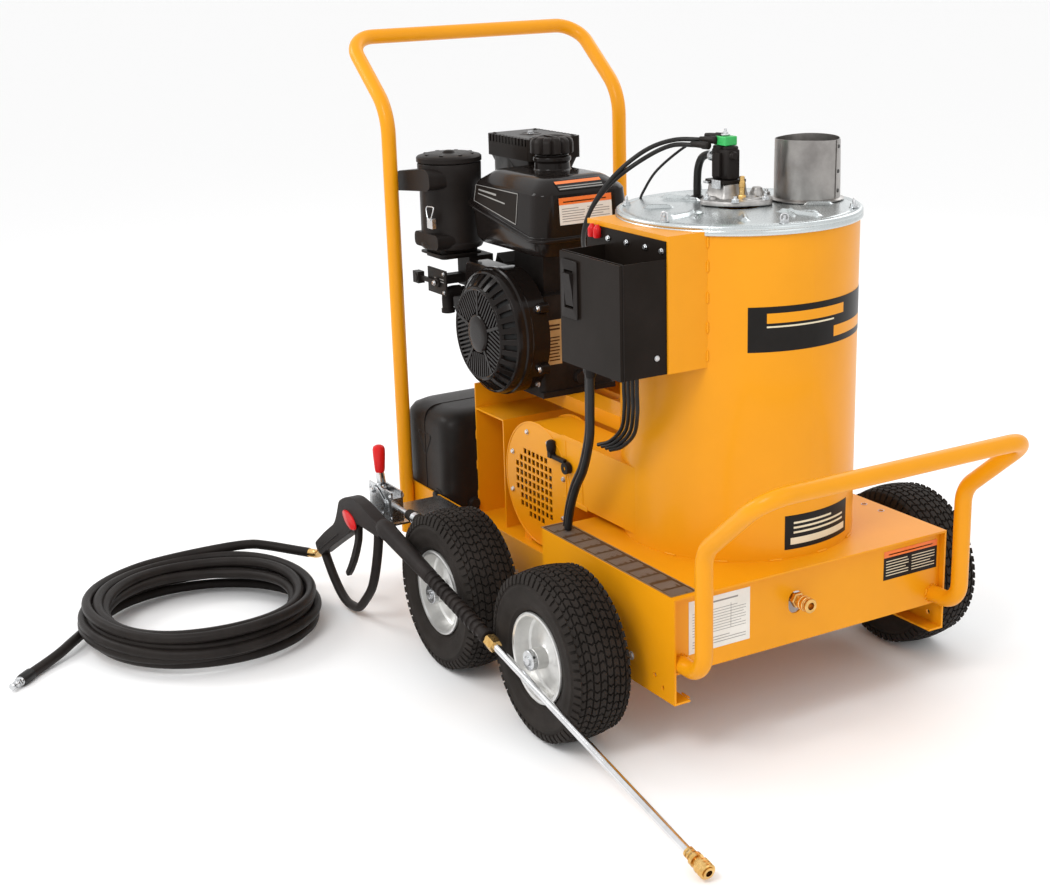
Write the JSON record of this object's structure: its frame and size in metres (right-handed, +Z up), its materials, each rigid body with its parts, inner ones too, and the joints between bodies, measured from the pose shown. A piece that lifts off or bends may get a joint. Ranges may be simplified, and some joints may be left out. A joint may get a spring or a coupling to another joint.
{
  "type": "hot water pressure washer",
  "caption": "Four-wheel engine-driven hot water pressure washer cart with upright heater shell, push handle, spray gun with lance and coiled hose.",
  "frame": {"origin": "centre of the bounding box of cart and gun, on the floor", "axes": "+X forward from the push handle to the low front handle, +Z up, -Y the side with the recoil starter and the gun"},
  "size_m": [1.7192, 1.7425, 1.247],
  "materials": {
    "yellow_paint": "gloss powder coat",
    "engine_black": "satin",
    "engine_cast": "painted black casting",
    "black_plastic": "moulded",
    "cast_metal": "as cast",
    "galvanised": "galvanised",
    "bright_steel": "plated",
    "pipe_steel": "black pipe",
    "rim_paint": "pale grey",
    "tyre_rubber": "turf tread",
    "brass_fitting": "machined",
    "chrome_tube": "polished",
    "black_rubber": "moulded"
  },
  "bodies": {
    "cart": {"chassis": "yellow_paint", "engine_bench": "yellow_paint", "engine_block": "engine_cast", "recoil_shroud": "engine_black", "pump": "cast_metal", "axles": "bright_steel", "control_cables": "black_rubber", "fasteners": "bright_steel", "front_handle": "yellow_paint", "rear_handle": "yellow_paint", "engine_fuel_tank": "engine_black", "muffler": "pipe_steel", "muffler_guard": "engine_black", "air_cleaner": "black_plastic", "air_cleaner_lid": "black_plastic", "carburettor": "cast_metal", "heater_shell": "yellow_paint", "shell_lid": "galvanised", "flue_collar": "galvanised", "heating_coil": "pipe_steel", "pressure_pipe": "pipe_steel", "burner_head": "cast_metal", "burner_valve": "black_plastic", "burner_fuel_hose": "black_rubber", "burner_leads": "black_rubber", "box_bracket": "yellow_paint", "switch_box": "engine_black", "fan_housing": "yellow_paint", "fan_motor": "engine_black", "burner_fuel_tank": "black_plastic", "brake_base": "bright_steel", "outlet_coupler": "brass_fitting", "gun_body": "black_plastic", "inlet_swivel": "brass_fitting", "wand_grip": "black_rubber", "lance": "chrome_tube", "hose_lead": "black_rubber", "hose_coil": "black_rubber", "hose_tail": "black_rubber", "hose_end": "chrome_tube"},
    "wheel_front_right": {"tyre_front_right": "tyre_rubber", "rim_front_right": "rim_paint"},
    "wheel_front_left": {"tyre_front_left": "tyre_rubber", "rim_front_left": "rim_paint"},
    "wheel_rear_right": {"tyre_rear_right": "tyre_rubber", "rim_rear_right": "rim_paint"},
    "wheel_rear_left": {"tyre_rear_left": "tyre_rubber", "rim_rear_left": "rim_paint"},
    "crankshaft_body": {"crankshaft": "bright_steel"},
    "fan_body": {"fan_wheel": "bright_steel"},
    "engine_cap": {"engine_fuel_cap": "black_plastic"},
    "burner_cap": {"burner_fuel_cap": "black_plastic"},
    "throttle": {"throttle_lever": "black_plastic"},
    "rocker": {"rocker_switch": "black_plastic"},
    "shutter": {"shutter_lever": "black_plastic"},
    "brake_lever": {"brake_handle": "bright_steel"},
    "brake_rod": {"brake_plunger": "bright_steel"},
    "outlet_collar": {"outlet_sleeve": "brass_fitting"},
    "lance_collar": {"lance_sleeve": "brass_fitting"},
    "trigger": {"gun_trigger": "black_plastic"}
  },
  "joints": [
    {"name": "wheel_front_right_spin", "type": "hinge", "parent": "cart", "child": "wheel_front_right", "pos_m": [0.24687, -0.401, 0.165], "axis": [0, 1, 0], "continuous": true},
    {"name": "wheel_front_left_spin", "type": "hinge", "parent": "cart", "child": "wheel_front_left", "pos_m": [0.24687, 0.433, 0.165], "axis": [0, 1, 0], "continuous": true},
    {"name": "wheel_rear_right_spin", "type": "hinge", "parent": "cart", "child": "wheel_rear_right", "pos_m": [-0.14713, -0.401, 0.165], "axis": [0, 1, 0], "continuous": true},
    {"name": "wheel_rear_left_spin", "type": "hinge", "parent": "cart", "child": "wheel_rear_left", "pos_m": [-0.14713, 0.433, 0.165], "axis": [0, 1, 0], "continuous": true},
    {"name": "crankshaft_spin", "type": "hinge", "parent": "cart", "child": "crankshaft_body", "pos_m": [-0.34213, 0.016, 0.637], "axis": [0, 1, 0], "continuous": true},
    {"name": "fan_spin", "type": "hinge", "parent": "cart", "child": "fan_body", "pos_m": [-0.18213, -0.134, 0.338], "axis": [0, 1, 0], "continuous": true},
    {"name": "engine_cap_turn", "type": "hinge", "parent": "cart", "child": "engine_cap", "pos_m": [-0.32713, -0.049, 1.02], "axis": [0, 0, 1], "range_deg": [0, 90]},
    {"name": "burner_cap_turn", "type": "hinge", "parent": "cart", "child": "burner_cap", "pos_m": [-0.54713, 0.076, 0.45], "axis": [0, 0, 1], "range_deg": [0, 360]},
    {"name": "throttle_turn", "type": "hinge", "parent": "cart", "child": "throttle", "pos_m": [-0.53213, -0.227, 0.716], "axis": [0, 1, 0], "range_deg": [-25, 25]},
    {"name": "rocker_tilt", "type": "hinge", "parent": "cart", "child": "rocker", "pos_m": [0.18487, -0.318, 0.83], "axis": [1, 0, 0], "range_deg": [-14, 0]},
    {"name": "shutter_turn", "type": "hinge", "parent": "cart", "child": "shutter", "pos_m": [-0.05213, -0.197, 0.408], "axis": [0, 1, 0], "range_deg": [-35, 35]},
    {"name": "brake_handle_swing", "type": "hinge", "parent": "cart", "child": "brake_lever", "pos_m": [-0.45713, -0.424, 0.3], "axis": [0, 1, 0], "range_deg": [-55, 0]},
    {"name": "brake_plunger_slide", "type": "slide", "parent": "cart", "child": "brake_rod", "axis": [1, 0, 0], "range_m": [-0.028, 0]},
    {"name": "outlet_sleeve_slide", "type": "slide", "parent": "cart", "child": "outlet_collar", "axis": [1, 0, 0], "range_m": [-0.005, 0], "stiffness_N_per_m": 800},
    {"name": "lance_sleeve_slide", "type": "slide", "parent": "cart", "child": "lance_collar", "axis": [0.979, 0, -0.2041], "range_m": [-0.005, 0], "stiffness_N_per_m": 800},
    {"name": "gun_trigger_pull", "type": "hinge", "parent": "cart", "child": "trigger", "pos_m": [-0.45913, -0.4795, 0.24], "axis": [0, 1, 0], "range_deg": [0, 12], "stiffness_Nm_per_rad": 2.5, "springref_deg": -5.73}
  ],
  "couplings": [
    {"joint": "brake_plunger_slide", "follows": "brake_handle_swing", "m_per_rad": 0.029169}
  ]
}
